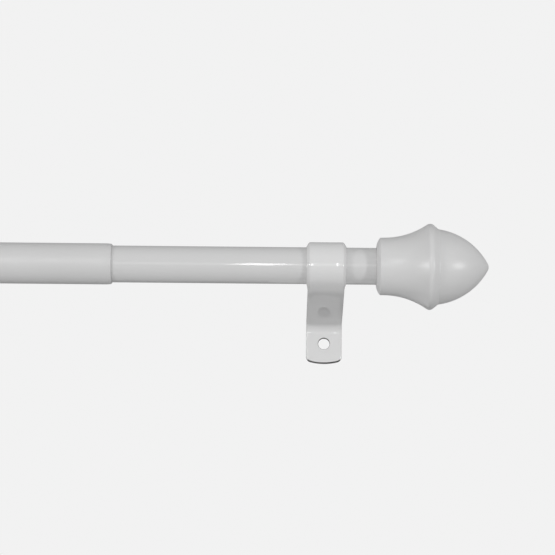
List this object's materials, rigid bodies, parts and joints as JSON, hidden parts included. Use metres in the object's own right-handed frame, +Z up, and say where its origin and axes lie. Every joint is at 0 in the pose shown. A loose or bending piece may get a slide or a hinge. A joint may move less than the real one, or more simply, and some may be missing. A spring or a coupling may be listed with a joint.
{
  "type": "extendable cafe curtain rod",
  "caption": "Extendable cafe curtain rod: telescoping white tubes with pointed bulb finials, held off the wall by bent strip brackets, each with an eye round the rod and a screw hole.",
  "frame": {"origin": "axis of the left bracket's screw hole, on the wall plane at the back of its plate", "axes": "+X along the rod from the thick tube to the thin tube, +Y into the wall, +Z up"},
  "size_m": [0.5588, 0.0552, 0.0427],
  "materials": {
    "satin_white_paint": "satin white powder coat on steel tube",
    "gloss_white_paint": "gloss white stoved paint on steel",
    "satin_white_plastic": "satin white moulded plastic"
  },
  "bodies": {
    "bracket_left": {"bracket_left": "gloss_white_paint"},
    "outer_tube": {"outer_tube": "satin_white_paint"},
    "inner_tube": {"inner_tube": "gloss_white_paint"},
    "bracket_right": {"bracket_right": "gloss_white_paint"},
    "finial_left": {"finial_left": "satin_white_plastic"},
    "finial_right": {"finial_right": "satin_white_plastic"}
  },
  "joints": [
    {"name": "rod_in_left_bracket", "type": "slide", "parent": "bracket_left", "child": "outer_tube", "axis": [1, 0, 0], "range_m": [-0.3, 0.01]},
    {"name": "tube_extend", "type": "slide", "parent": "outer_tube", "child": "inner_tube", "axis": [1, 0, 0], "range_m": [-0.055, 0.23]},
    {"name": "right_bracket_slide", "type": "slide", "parent": "inner_tube", "child": "bracket_right", "axis": [1, 0, 0], "range_m": [-0.012, 0.01]},
    {"name": "finial_left_pull", "type": "slide", "parent": "outer_tube", "child": "finial_left", "axis": [-1, 0, 0], "range_m": [0, 0.025]},
    {"name": "finial_right_pull", "type": "slide", "parent": "inner_tube", "child": "finial_right", "axis": [1, 0, 0], "range_m": [0, 0.025]}
  ]
}
